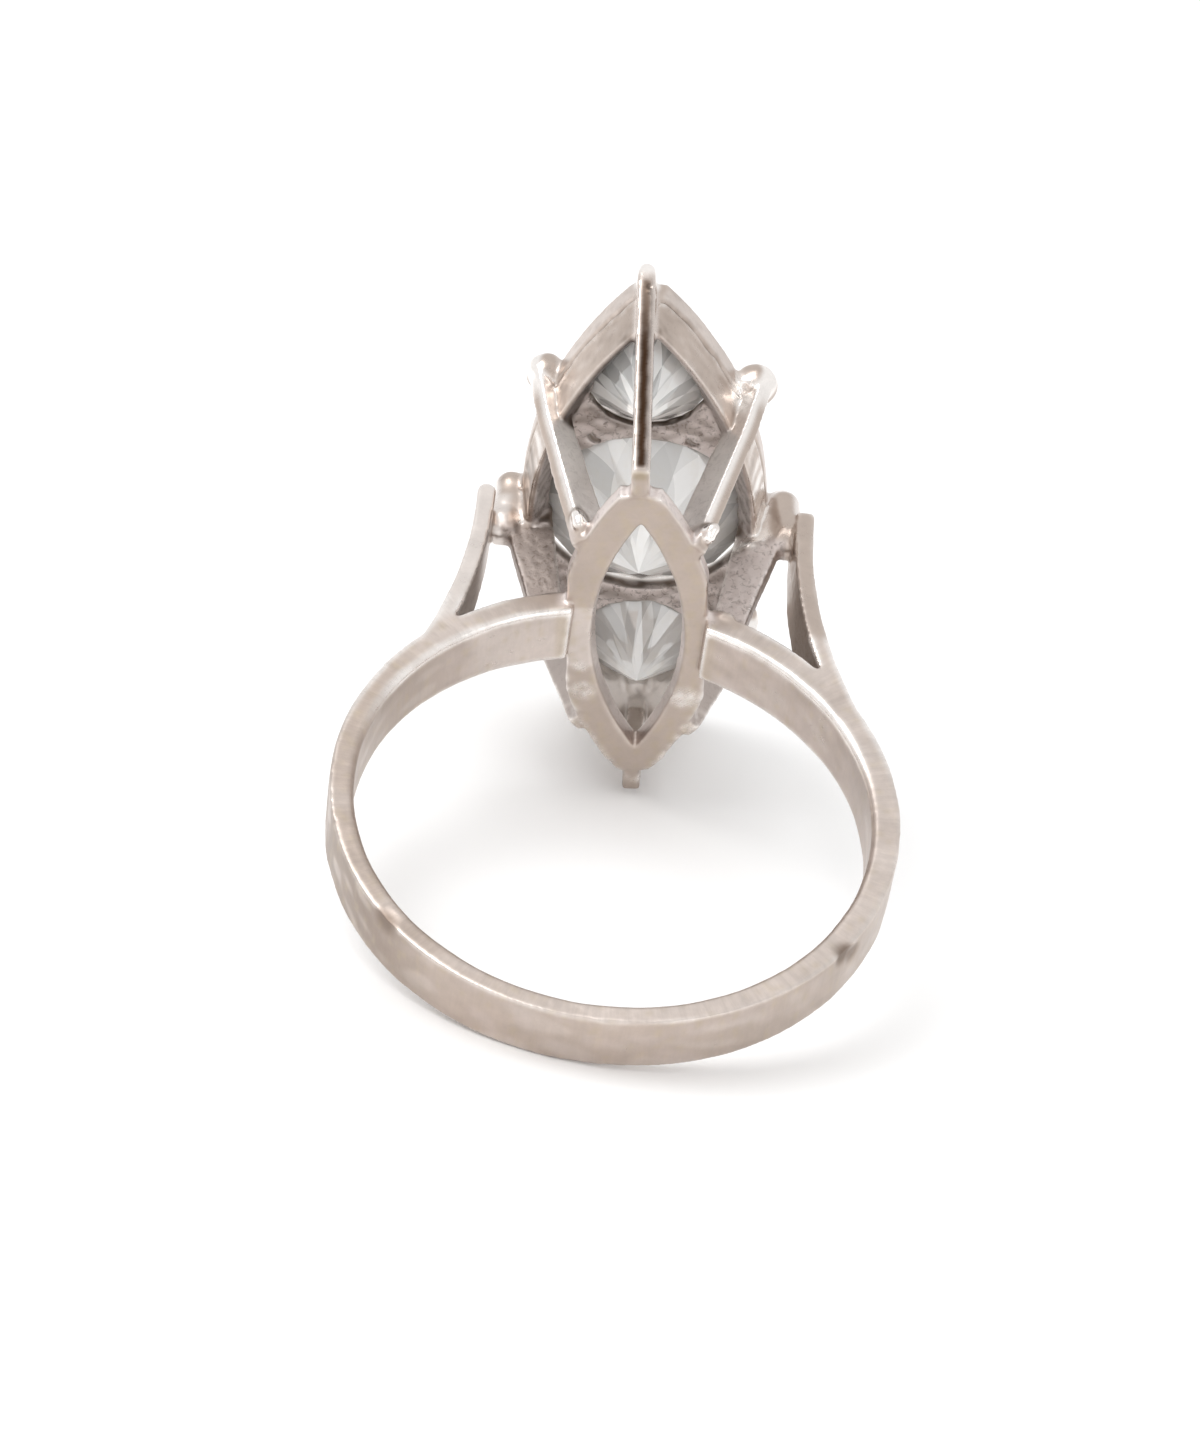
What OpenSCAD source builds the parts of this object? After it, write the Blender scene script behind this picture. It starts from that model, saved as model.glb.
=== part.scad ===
// Three-stone ring with a pointed oval head, eight plate claws and forked shoulders
// Millimetres. The ring lies on its side, the far claw and the hoop on the floor at z = 0.
// Each module below draws in the ring's own frame: the finger hole runs along Y about
// the origin, the head is up (+Z) and the palm side is down. at_rest() lays it down.

/* [Finger hole] */
// Inside diameter of the finger hole
finger_d = 17.2; // [15:0.1:20]
// Width of the worn bevel on the hole's two edges
hole_bevel = 0.15; // [0.05:0.01:0.25]

/* [Hoop] */
// Radius of the hoop's outside
hoop_r = 9.49; // [9.4:0.01:10.2]
// How far the outside sits towards the right shoulder
hoop_dx = 0.06; // [0:0.01:0.1]
// How far the outside sits towards the head, so the palm side is the thin one
hoop_dz = 0.12; // [0:0.01:0.15]
// Width of the hoop at the palm
hoop_w_palm = 2.2; // [1.8:0.1:3]
// Width of the hoop at the shoulders
hoop_w_top = 2.5; // [2:0.1:3.2]

/* [Forked shoulders] */
// Half the distance between the outer arms' outsides
arm_x = 5.92; // [5.7:0.01:6.2]
// Height where the outer arms stand upright
arm_z = 13.5; // [12.5:0.1:14]
// Radius of the outer arms' hollow sweep
arm_r = 19.5; // [17:0.5:22]
// Thickness of an outer arm
arm_t = 0.63; // [0.5:0.01:0.8]
// Height of the left arm's round end
left_top = 13.8; // [13.4:0.1:14]
// Height of the right arm's square end
right_top = 14.55; // [14:0.05:14.8]

/* [Head] */
// Turn of the head on the hoop, in degrees, as it was soldered
head_turn = -5.15; // [-8:0.05:0]
// Sideways place of the head on the hoop
head_dx = 0.36; // [0:0.01:0.5]
// Height of the base ring's flat underside
base_z = 8.78; // [8.7:0.01:9]
// Height of the base ring
base_h = 0.65; // [0.5:0.01:0.9]
// Half width of the pointed hole in the base ring
base_hole_w = 1.63; // [1.4:0.01:1.8]
// Half length of the pointed hole in the base ring
base_hole_l = 5.6; // [5:0.05:6]
// Half width of the base ring
base_w = 2.4; // [2.2:0.05:2.7]
// Height of the gallery wall's lower edge
wall_z = 13.7; // [13.4:0.05:14]
// Height of the step between the gallery's belt and its rim
step_z = 15.25; // [15:0.05:15.5]
// Height of the gallery's top
rim_z = 16; // [15.8:0.05:16.2]
// Half width of the gallery at its top
wall_w = 4.45; // [4.4:0.01:4.6]
// How much narrower the gallery is on each side at its lower edge
wall_flare = 0.4; // [0.3:0.05:0.5]
// Height of the underside of the webs between the stones
web_z = 14.75; // [14.6:0.05:14.9]
// Thickness of the gallery's rim
wall_t = 0.55; // [0.5:0.01:0.7]
// Sideways place of the gallery over the base ring
gallery_dx = -0.1; // [-0.2:0.01:0]

/* [Claws] */
// Thickness of a claw plate
claw_t = 0.62; // [0.5:0.01:0.8]
// Depth of a slanted claw plate
claw_d = 1.22; // [1:0.01:1.5]
// Direction of the slanted claws, in degrees from the ring's width
claw_turn = 38; // [30:1:45]

/* [Stones] */
// Diameter of the middle stone
middle_d = 7.24; // [7:0.02:7.3]
// Diameter of the two end stones
end_d = 4.5; // [4.2:0.02:4.56]
// Depth of the middle stone below its girdle, as a share of its diameter
middle_depth = 0.46; // [0.42:0.01:0.5]
// Depth of an end stone below its girdle, as a share of its diameter
end_depth = 0.53; // [0.45:0.01:0.55]
// Distance of an end stone from the middle
end_y = 6.45; // [6.4:0.05:6.5]
// Height of the stones' girdles
girdle_z = 15.2; // [15.1:0.05:15.3]
// Clearance between a stone and its metal seat
seat_gap = 0.03; // [0.02:0.01:0.06]

/* [Resting pose] */
// Turn about the ring's width that lays the ring on its side
rest_x = -68.72; // [-90:0.01:-60]
// Turn about the hoop's height before it is laid down
rest_y = -10.99; // [-15:0.01:15]
// Shift that brings the ring over the origin
rest_shift = [-0.036, -4.946, 4.437];

/* [Part] */

/* [Hidden] */
$fn = 96;
split_x = 0.28;
hole_r = finger_d / 2;
girdle_t = 0.12;
base_arc = (base_hole_w * base_hole_w + base_hole_l * base_hole_l) / (2 * base_hole_w);
base_out_w = 2.75;
base_out_arc = 11.9;
wall_arc = 15.05;
metal = [0.80, 0.75, 0.71];
gem = [0.90, 0.92, 0.92];

// A pointed oval block: two overlapping cones, half_w wide on each side at the top and
// narrower by flare at the bottom
module navette(half_w, arc, h, flare = 0) {
    intersection_for(s = [-1, 1])
        translate([s * (arc - half_w), 0, 0])
            cylinder(r1 = arc - flare, r2 = arc, h = h, $fn = 180);
}

// The outer arm on one side, seen along the finger, cut off level at its top
module arm_side(s, top) {
    intersection() {
        translate([split_x + s * (arm_x + arm_r), arm_z])
            difference() {
                circle(r = arm_r + arm_t, $fn = 240);
                circle(r = arm_r, $fn = 240);
            }
        translate([split_x + s * 7 - 2.5, 4.8]) square([5, top - 4.8]);
    }
}

// The hoop, both arms and their ends, seen along the finger
module side_outline() {
    arm_mid = arm_x - arm_t / 2;
    end_r = 0.14;
    difference() {
        union() {
            translate([hoop_dx, hoop_dz]) circle(r = hoop_r, $fn = 240);
            arm_side(-1, left_top);
            translate([split_x - arm_mid, left_top]) circle(r = arm_t / 2);
            arm_side(1, right_top - end_r);
            translate([split_x + arm_mid, right_top - end_r]) {
                square([arm_t - 2 * end_r, 2 * end_r], center = true);
                for (e = [-1, 1]) translate([e * (arm_t / 2 - end_r), 0]) circle(r = end_r);
            }
        }
        circle(r = hole_r, $fn = 240);
        translate([head_dx - 2.3, 5]) square([4.6, base_z - 5]);
        translate([head_dx - 1.95, 5]) square([3.9, 6]);
    }
}

// The band with its forked shoulders, tapered towards the palm
module band() {
    taper = [[-hoop_w_palm / 2, -11], [hoop_w_palm / 2, -11], [hoop_w_top / 2, 6],
             [hoop_w_top / 2, 16], [-hoop_w_top / 2, 16], [-hoop_w_top / 2, 6]];
    slope = atan((hoop_w_top - hoop_w_palm) / 2 / 17);
    difference() {
        intersection() {
            rotate([90, 0, 0]) linear_extrude(height = 4, center = true) side_outline();
            rotate([90, 0, 90]) linear_extrude(height = 30, center = true) polygon(taper);
        }
        for (s = [-1, 1])
            translate([0, s * (hoop_w_palm / 2 + (hoop_w_top - hoop_w_palm) * 11 / 34), 0])
                rotate([s * -slope, 0, 0]) rotate([s * 90, 0, 0])
                    translate([0, 0, -1])
                        cylinder(r1 = hole_r + hole_bevel + 1, r2 = hole_r + hole_bevel - 1,
                                 h = 2, $fn = 180);
    }
}

// The flat pointed ring that the claws stand on
module base_ring() {
    translate([0, 0, base_z]) difference() {
        intersection() {
            navette(base_out_w, base_out_arc, base_h);
            translate([-base_w, -6.68, 0]) cube([2 * base_w, 13.5, base_h]);
        }
        translate([0.05, 0.1, -1])
            navette(base_hole_w - 0.15 - 0.15 / base_h, base_arc - 0.15 - 0.15 / base_h,
                    base_h + 2, -0.15 * (base_h + 2) / base_h);
    }
}

// One claw plate: out holds its outer edge, inn its inner edge, both from the foot up
module plate(out, inn, tip, tip_r) {
    c = 0.18;
    e = claw_t / 2;
    rotate([90, 0, 0]) linear_extrude(height = claw_t, center = true)
        polygon(concat(out, [for (i = [len(inn) - 1 : -1 : 0]) inn[i]]));
    translate([tip[0], 0, tip[1]]) rotate([90, 0, 0]) rotate_extrude($fn = 48)
        polygon([[0, -e], [tip_r - c, -e], [tip_r, c - e], [tip_r, e - c], [tip_r - c, e], [0, e]]);
}

// A claw at a point of the oval, leaning sideways by lean degrees
module tip_claw(lean) {
    translate([0, 0, base_z]) rotate([lean, 0, 0]) translate([0, 0, -base_z]) {
        plate([[7.85, base_z + 0.04], [9.95, 13.7], [10.6, 15.3], [10.67, 15.87]],
              [[6.2, base_z + 0.04], [6.2, 9.4], [8.75, 13.7], [9.43, 15.87]], [10.05, 15.87], 0.62);
        lip(9.6, 8.7, 0.5);
    }
}

// A claw beside the middle stone, standing on the band's inner arm and notched for it
module side_claw() {
    difference() {
        union() {
            plate([[3.55, 8.5], [3.87, 10], [4.85, 13.6], [5.31, 15.2], [5.36, 15.7]],
                  [[2.55, 8.5], [2.6, 9.6], [3.2, 13.7], [3.4, 15.3], [4.2, 15.7]],
                  [4.77, 15.74], 0.59);
            lip(4.4, 3.45, 0.5);
        }
        translate([0, 0, girdle_z - 0.3])
            cylinder(r = middle_d / 2 + seat_gap - gallery_dx, h = 0.55);
    }
}

// A slanted claw between the middle stone and an end stone, s = -1 or 1 for its end
module slant_claw(s) {
    translate([2.1, s * 4.55, 0]) rotate([0, 0, s * claw_turn])
        plate([[0, base_z + 0.04], [1.95, 13.7], [2.41, 15.3], [2.48, 15.9]],
              [[-claw_d, base_z + 0.04], [-claw_d, 9.5], [1.95 - claw_d, 13.7], [2.48 - claw_d, 15.9]],
              [2.48 - claw_d / 2, 15.86], claw_d / 2 + 0.03);
    translate([0, s * 6, 0]) lip(3.3, 2.2, 0.5);
}

// The folded end of a claw that lies over a stone's edge
module lip(from, to, w) {
    rotate([90, 0, 0]) linear_extrude(height = w, center = true)
        polygon([[to, 15.5], [to + 0.12, 15.85], [from, 15.98], [from, 15.4]]);
}

// The flared gallery with its belt, its slightly narrower rim and the stones' seats
module gallery() {
    h = rim_z - wall_z;
    in_w = wall_w - 0.6;
    in_arc = wall_arc - 0.6;
    difference() {
        intersection() {
            translate([0, 0, wall_z]) navette(wall_w, wall_arc, h, wall_flare);
            union() {
                translate([-6, -9.9, wall_z]) cube([12, 19.8, step_z - wall_z]);
                translate([0, 0, step_z]) navette(wall_w - 0.12, wall_arc - 0.12, h);
            }
            translate([-6, -9.9, wall_z]) cube([12, 19.8, h]);
        }
        translate([0, 0, 2 * wall_z - web_z])
            navette(in_w - 0.6, in_arc - 0.6, 2 * (web_z - wall_z), -1.2);
        translate([0, 0, web_z - 0.1]) cylinder(r = middle_d / 2 + 0.08, h = 3);
        for (s = [-1, 1]) {
            intersection() {
                translate([0, s * end_y, wall_z]) cylinder(r = end_d / 2 - 0.1, h = 3);
                translate([0, 0, wall_z]) navette(in_w - 0.6, in_arc - 0.6, 3);
            }
            translate([0, s * end_y, girdle_z - 0.9]) cylinder(r = 0.83 * end_d / 2, h = 0.85);
            translate([0, s * end_y, girdle_z - 0.1])
                cylinder(r = end_d / 2 + seat_gap, h = 0.4);
            for (e = [-1, 1])
                translate([s * 1.7, e * 3.68, wall_z]) cylinder(r = 0.3, h = 3, $fn = 12);
        }
        translate([0, 0, girdle_z + 0.2]) navette(wall_w - wall_t, wall_arc - wall_t, 3);
    }
}

// The solder between the outer arms and the side claws
module bridges() {
    translate([-5.3, -0.05, 13.55]) rotate([0, 90, 0]) cylinder(r = 0.5, h = 0.8, $fn = 48);
    translate([4.5, -0.05, 13.75]) rotate([0, 90, 0]) cylinder(r = 0.62, h = 1.0, $fn = 48);
}

// All the soldered metal, one solid
module ring_mount() {
    color(metal) union() {
        band();
        translate([head_dx, 0.08, 0]) rotate([0, 0, head_turn]) {
            base_ring();
            bridges();
            translate([gallery_dx, 0, 0]) gallery();
            rotate([0, 0, 270]) tip_claw(2);
            translate([-0.05, 0, 0]) rotate([0, 0, 90]) tip_claw(-0.5);
            for (a = [0, 180]) rotate([0, 0, a]) side_claw();
            for (a = [0, 180], s = [-1, 1])
                translate([0, 0.15, 0]) rotate([0, 0, a]) slant_claw(s);
        }
    }
}

// n points of a circle of radius rr at height z, turned by off steps
function ring_pts(n, rr, z, off) = [for (i = [0 : n - 1])
    [rr * cos((i + off) * 360 / n), rr * sin((i + off) * 360 / n), z]];

// The step i counted round a circle of n
function wrap(i, n) = (i + n) % n;

// A round old-cut stone: table, stars, eight kites, girdle and two rows of facets below
module stone(d, y, depth) {
    r = d / 2;
    rt = 0.29 * d;
    hc = 0.15 * d;
    hp = depth * d - 0.02;
    ro = rt * cos(22.5) + 0.5 * (r - rt * cos(22.5));
    zo = hc - (ro * cos(22.5) - rt) * hc / (r - rt);
    rl = 0.24 * r;
    zl = -hp + rl * cos(22.5) * hp / r;
    pts = concat(ring_pts(8, rt, hc + girdle_t, 0), ring_pts(8, ro, zo + girdle_t, 0.5),
                 ring_pts(16, r, girdle_t, 0), ring_pts(16, r, 0, 0), ring_pts(8, rl, zl, 0.5), [[0, 0, -hp]]);
    faces = concat(
        [[7, 6, 5, 4, 3, 2, 1, 0]],
        [for (i = [0 : 7]) [i, wrap(i + 1, 8), 8 + i]],
        [for (i = [0 : 7]) [i, 8 + i, 16 + 2 * i, 8 + wrap(i - 1, 8)]],
        [for (i = [0 : 7]) each [[8 + i, 16 + 2 * i + 1, 16 + 2 * i],
                                 [8 + i, 16 + wrap(2 * i + 2, 16), 16 + 2 * i + 1]]],
        [for (i = [0 : 15]) [16 + i, 16 + wrap(i + 1, 16), 32 + wrap(i + 1, 16), 32 + i]],
        [for (i = [0 : 7]) each [[48 + i, 32 + 2 * i, 32 + 2 * i + 1],
                                 [48 + i, 32 + 2 * i + 1, 32 + wrap(2 * i + 2, 16)]]],
        [for (i = [0 : 7]) [56, 48 + wrap(i - 1, 8), 32 + 2 * i, 48 + i]]);
    color(gem) translate([head_dx, 0.08, 0]) rotate([0, 0, head_turn])
        translate([gallery_dx, y, girdle_z]) polyhedron(points = pts, faces = faces);
}

module middle_stone() { stone(middle_d, 0, middle_depth); }
module near_stone() { stone(end_d, -end_y, end_depth); }
module far_stone() { stone(end_d, end_y, end_depth); }

// Lays the ring on its side in the pose in which it comes to rest
module at_rest() {
    translate(rest_shift) rotate([rest_x, 0, 0]) rotate([0, rest_y, 0]) children();
}

at_rest() ring_mount();
at_rest() middle_stone();
at_rest() near_stone();
at_rest() far_stone();
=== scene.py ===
import math

import bpy
import numpy as np
from mathutils import Matrix, Vector


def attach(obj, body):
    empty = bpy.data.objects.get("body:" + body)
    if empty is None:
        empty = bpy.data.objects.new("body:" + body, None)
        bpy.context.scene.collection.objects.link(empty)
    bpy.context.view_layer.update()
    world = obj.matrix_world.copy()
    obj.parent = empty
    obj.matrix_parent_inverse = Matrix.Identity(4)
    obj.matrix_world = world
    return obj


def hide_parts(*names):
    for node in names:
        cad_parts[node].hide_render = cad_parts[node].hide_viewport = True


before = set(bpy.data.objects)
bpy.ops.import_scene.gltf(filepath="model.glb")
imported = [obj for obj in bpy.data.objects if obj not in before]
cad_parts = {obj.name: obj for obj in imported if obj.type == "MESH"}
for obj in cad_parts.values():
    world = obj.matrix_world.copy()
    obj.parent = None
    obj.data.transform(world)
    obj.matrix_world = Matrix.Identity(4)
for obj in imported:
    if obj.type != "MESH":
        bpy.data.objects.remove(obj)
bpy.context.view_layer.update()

mm = 0.001

# how the ring lies: the same turns and shift as in the part's source
restTurnX = math.radians(-68.72)
restTurnY = math.radians(-10.99)
restShift = Vector((-0.036, -4.946, 4.437))
hoopToRow = (Matrix.Translation(restShift) @ Matrix.Rotation(restTurnX, 4, "X")
             @ Matrix.Rotation(restTurnY, 4, "Y"))
rowToHoop = hoopToRow.inverted()

# the head's own axes on the hoop
headTurn = math.radians(-5.15)
headShift = Vector((0.36, 0.08, 0))
headToHoop = Matrix.Translation(headShift) @ Matrix.Rotation(headTurn, 4, "Z")
hoopToHead = headToHoop.inverted()


def linked(obj):
    bpy.context.scene.collection.objects.link(obj)
    return obj


def meshObject(name, mesh):
    return linked(bpy.data.objects.new(name, mesh))


# node helpers

def addNode(tree, kind, **values):
    node = tree.nodes.new(kind)
    for key, value in values.items():
        if key.startswith("in_"):
            node.inputs[key[3:].replace("_", " ")].default_value = value
        else:
            setattr(node, key, value)
    return node


def mathNode(tree, operation, first, second=None, clamp=False):
    node = tree.nodes.new("ShaderNodeMath")
    node.operation = operation
    node.use_clamp = clamp
    for i, source in enumerate((first, second)):
        if source is None:
            continue
        if isinstance(source, (int, float)):
            node.inputs[i].default_value = source
        else:
            tree.links.new(source, node.inputs[i])
    return node.outputs[0]


def ramp(tree, source, low, high, start=0.0, end=1.0):
    node = tree.nodes.new("ShaderNodeMapRange")
    node.interpolation_type = "SMOOTHSTEP"
    for name, value in (("From Min", low), ("From Max", high), ("To Min", start), ("To Max", end)):
        node.inputs[name].default_value = value
    tree.links.new(source, node.inputs["Value"])
    return node.outputs["Result"]


def mixColor(tree, factor, first, second, blend="MIX"):
    node = tree.nodes.new("ShaderNodeMix")
    node.data_type = "RGBA"
    node.blend_type = blend
    for name, source in (("Factor", factor), ("A", first), ("B", second)):
        socket = [s for s in node.inputs if s.name == name and s.enabled][0]
        if isinstance(source, (int, float, tuple)):
            socket.default_value = source
        else:
            tree.links.new(source, socket)
    return [s for s in node.outputs if s.enabled][0]


def newGroup(name, inputs, outputs, kind="ShaderNodeTree"):
    group = bpy.data.node_groups.new(name, kind)
    for label, socketType, value in inputs:
        socket = group.interface.new_socket(label, in_out="INPUT", socket_type=socketType)
        if value is not None:
            socket.default_value = value
    for label, socketType in outputs:
        group.interface.new_socket(label, in_out="OUTPUT", socket_type=socketType)
    return group, group.nodes.new("NodeGroupInput"), group.nodes.new("NodeGroupOutput")


def useGroup(tree, group, **values):
    node = tree.nodes.new("ShaderNodeGroup")
    node.node_tree = group
    for key, value in values.items():
        socket = node.inputs[key.replace("_", " ")]
        if isinstance(value, (int, float, tuple)):
            socket.default_value = value
        else:
            tree.links.new(value, socket)
    return node


def noise(tree, vector, scale, detail=3.0, roughness=0.5, distortion=0.0):
    node = addNode(tree, "ShaderNodeTexNoise", in_Scale=scale, in_Detail=detail,
                   in_Roughness=roughness, in_Distortion=distortion)
    tree.links.new(vector, node.inputs["Vector"])
    return node.outputs["Fac"]


# shader groups

# clouds of three sizes: a grey that darkens and lightens the color, and a height
def wearGroup():
    group, source, out = newGroup(
        "wornClouds",
        [("Vector", "NodeSocketVector", None), ("Scale", "NodeSocketFloat", 1.0),
         ("Depth", "NodeSocketFloat", 0.2)],
        [("Shade", "NodeSocketFloat"), ("Height", "NodeSocketFloat")])
    scaled = group.nodes.new("ShaderNodeVectorMath")
    scaled.operation = "SCALE"
    group.links.new(source.outputs["Vector"], scaled.inputs[0])
    group.links.new(source.outputs["Scale"], scaled.inputs["Scale"])
    large = noise(group, scaled.outputs[0], 0.45, 3, 0.55, 0.3)
    middle = noise(group, scaled.outputs[0], 1.9, 4, 0.6, 0.4)
    small = noise(group, scaled.outputs[0], 9.0, 3, 0.6)
    total = mathNode(group, "ADD", mathNode(group, "MULTIPLY", large, 0.9),
                     mathNode(group, "MULTIPLY", middle, 0.75))
    total = mathNode(group, "ADD", total, mathNode(group, "MULTIPLY", small, 0.35))
    swing = mathNode(group, "MULTIPLY", mathNode(group, "SUBTRACT", total, 1.0),
                     source.outputs["Depth"])
    group.links.new(mathNode(group, "ADD", swing, 1.0), out.inputs["Shade"])
    group.links.new(mathNode(group, "ADD", middle, mathNode(group, "MULTIPLY", small, 0.35)),
                    out.inputs["Height"])
    return group


# fine drawn scratches, on a vector that is already stretched along them
def scratchGroup():
    group, source, out = newGroup(
        "drawnScratches",
        [("Vector", "NodeSocketVector", None), ("Scale", "NodeSocketFloat", 1.0)],
        [("Height", "NodeSocketFloat"), ("Shade", "NodeSocketFloat")])
    lines = group.nodes.new("ShaderNodeTexNoise")
    lines.inputs["Detail"].default_value = 4
    lines.inputs["Roughness"].default_value = 0.65
    group.links.new(source.outputs["Vector"], lines.inputs["Vector"])
    group.links.new(source.outputs["Scale"], lines.inputs["Scale"])
    group.links.new(lines.outputs["Fac"], out.inputs["Height"])
    group.links.new(ramp(group, lines.outputs["Fac"], 0.3, 0.7, 0.9, 1.08), out.inputs["Shade"])
    return group


# rough cast metal: grain for the height and dark pits
def castGroup():
    group, source, out = newGroup(
        "castGrain",
        [("Vector", "NodeSocketVector", None), ("Scale", "NodeSocketFloat", 1.0)],
        [("Height", "NodeSocketFloat"), ("Pits", "NodeSocketFloat")])
    coarse = group.nodes.new("ShaderNodeTexNoise")
    coarse.inputs["Detail"].default_value = 6
    coarse.inputs["Roughness"].default_value = 0.68
    coarse.inputs["Distortion"].default_value = 0.8
    group.links.new(source.outputs["Vector"], coarse.inputs["Vector"])
    group.links.new(source.outputs["Scale"], coarse.inputs["Scale"])
    group.links.new(coarse.outputs["Fac"], out.inputs["Height"])
    group.links.new(ramp(group, coarse.outputs["Fac"], 0.50, 0.34), out.inputs["Pits"])
    return group


# materials

metalSpec = {
    "cloudScale": 900.0, "cloudDepth": 0.28,
    "castScale": 5000.0,
    "pitColor": (0.12, 0.085, 0.065, 1), "pitShare": 0.75,
    "smoothest": 0.06,
    "bump": 0.4, "relief": 0.03,    # the relief in millimetres
}


def metalMaterial():
    mat = bpy.data.materials.new("wornWhiteGold")
    mat.use_nodes = True
    tree = mat.node_tree
    shader = tree.nodes["Principled BSDF"]
    shader.inputs["Metallic"].default_value = 1.0
    coords = tree.nodes.new("ShaderNodeTexCoord").outputs["Object"]

    def attribute(name, output="Fac"):
        return addNode(tree, "ShaderNodeAttribute", attribute_name=name).outputs[output]

    tint = attribute("tint", "Color")
    rough = attribute("rough")
    grain = attribute("grain")
    drawn = attribute("drawn")
    polar = attribute("polar", "Vector")

    clouds = useGroup(tree, wearGroup(), Vector=coords, Scale=metalSpec["cloudScale"],
                      Depth=metalSpec["cloudDepth"])
    scratches = useGroup(tree, scratchGroup(), Vector=polar, Scale=1.0)
    cast = useGroup(tree, castGroup(), Vector=coords, Scale=metalSpec["castScale"])

    color = mixColor(tree, 1.0, tint, clouds.outputs["Shade"], "MULTIPLY")
    color = mixColor(tree, drawn, color,
                     mixColor(tree, 1.0, color, scratches.outputs["Shade"], "MULTIPLY"))
    pits = mathNode(tree, "MULTIPLY", cast.outputs["Pits"], grain, True)
    color = mixColor(tree, mathNode(tree, "MULTIPLY", pits, metalSpec["pitShare"]), color,
                     metalSpec["pitColor"])
    tree.links.new(color, shader.inputs["Base Color"])

    blur = mathNode(tree, "ADD", rough, mathNode(
        tree, "MULTIPLY", mathNode(tree, "SUBTRACT", clouds.outputs["Height"], 0.65), 0.22))
    tree.links.new(mathNode(tree, "MAXIMUM", blur, metalSpec["smoothest"], True),
                   shader.inputs["Roughness"])

    height = mathNode(tree, "MULTIPLY", clouds.outputs["Height"],
                      ramp(tree, rough, 0.15, 0.34, 0.1, 0.55))
    height = mathNode(tree, "ADD", height, mathNode(
        tree, "MULTIPLY", scratches.outputs["Height"], mathNode(tree, "MULTIPLY", drawn, 0.8)))
    height = mathNode(tree, "ADD", height, mathNode(
        tree, "MULTIPLY", cast.outputs["Height"], mathNode(tree, "MULTIPLY", grain, 2.4)))
    bump = tree.nodes.new("ShaderNodeBump")
    bump.inputs["Strength"].default_value = metalSpec["bump"]
    bump.inputs["Distance"].default_value = metalSpec["relief"] * mm
    tree.links.new(height, bump.inputs["Height"])
    tree.links.new(bump.outputs["Normal"], shader.inputs["Normal"])
    return mat


stoneSpec = {
    "transmission": 0.2,
    "ior": 2.3,
    "rough": 0.0, "dullest": 0.08,
    "wedges": 16, "slant": 0.75,    # kites round the axis, and their turn for each millimetre
    "hazeScale": 450.0, "hazeDepth": 0.08,
    "clear": (1.0, 0.995, 0.98, 1),
    "milky": (0.99, 0.965, 0.915, 1),
    "places": {"middle_stone": {"at": (-0.1, 0, 15.2), "darkest": 0.7, "star": 1.1},
               "near_stone": {"at": (-0.1, -6.45, 15.2), "darkest": 0.4, "star": 0.7},
               "far_stone": {"at": (-0.1, 6.45, 15.2), "darkest": 0.72, "star": 0.8}},
}


# painted light on the stones: a brightness of its own for each wedge of facets round a stone's axis
def facetGroup():
    group, source, out = newGroup(
        "paintedFacetLight",
        [("Vector", "NodeSocketVector", None), ("Center", "NodeSocketVector", None),
         ("Darkest", "NodeSocketFloat", 0.7), ("Star", "NodeSocketFloat", 0.001)],
        [("Shade", "NodeSocketFloat")])
    reach = group.nodes.new("ShaderNodeVectorMath")
    reach.operation = "SUBTRACT"
    group.links.new(source.outputs["Vector"], reach.inputs[0])
    group.links.new(source.outputs["Center"], reach.inputs[1])
    turn = (hoopToRow @ headToHoop).to_3x3()
    parts = []
    for axis in range(2):
        along = group.nodes.new("ShaderNodeVectorMath")
        along.operation = "DOT_PRODUCT"
        along.inputs[1].default_value = turn.col[axis]
        group.links.new(reach.outputs[0], along.inputs[0])
        parts.append(along.outputs["Value"])
    # two families of slanted lines cross into long kites, as the facets do
    turns = mathNode(group, "MULTIPLY", mathNode(group, "ARCTAN2", parts[1], parts[0]),
                     stoneSpec["wedges"] / (2 * math.pi))
    away = mathNode(group, "SQRT", mathNode(
        group, "ADD", mathNode(group, "MULTIPLY", parts[0], parts[0]),
        mathNode(group, "MULTIPLY", parts[1], parts[1])))
    slant = mathNode(group, "MULTIPLY", away, stoneSpec["slant"] / mm)
    wedge = mathNode(group, "ADD",
                     mathNode(group, "FLOOR", mathNode(group, "ADD", turns, slant)),
                     mathNode(group, "MULTIPLY", 7.3, mathNode(
                         group, "FLOOR", mathNode(group, "SUBTRACT", turns, slant))))
    chance = addNode(group, "ShaderNodeTexWhiteNoise", noise_dimensions="1D")
    group.links.new(wedge, chance.inputs["W"])
    swing = mathNode(group, "MULTIPLY", ramp(group, chance.outputs["Value"], 0.0, 0.7),
                     mathNode(group, "SUBTRACT", 1.0, source.outputs["Darkest"]))
    shade = mathNode(group, "ADD", source.outputs["Darkest"], swing)
    # painted highlight: the facets round the point below are painted brightest, as a star
    star = ramp(group, mathNode(group, "DIVIDE", away, source.outputs["Star"]), 0.45, 1.0, 0.9, 0.0)
    lift = mathNode(group, "MULTIPLY", mathNode(group, "SUBTRACT", 1.0, shade), star)
    group.links.new(mathNode(group, "ADD", shade, lift), out.inputs["Shade"])
    return group


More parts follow.
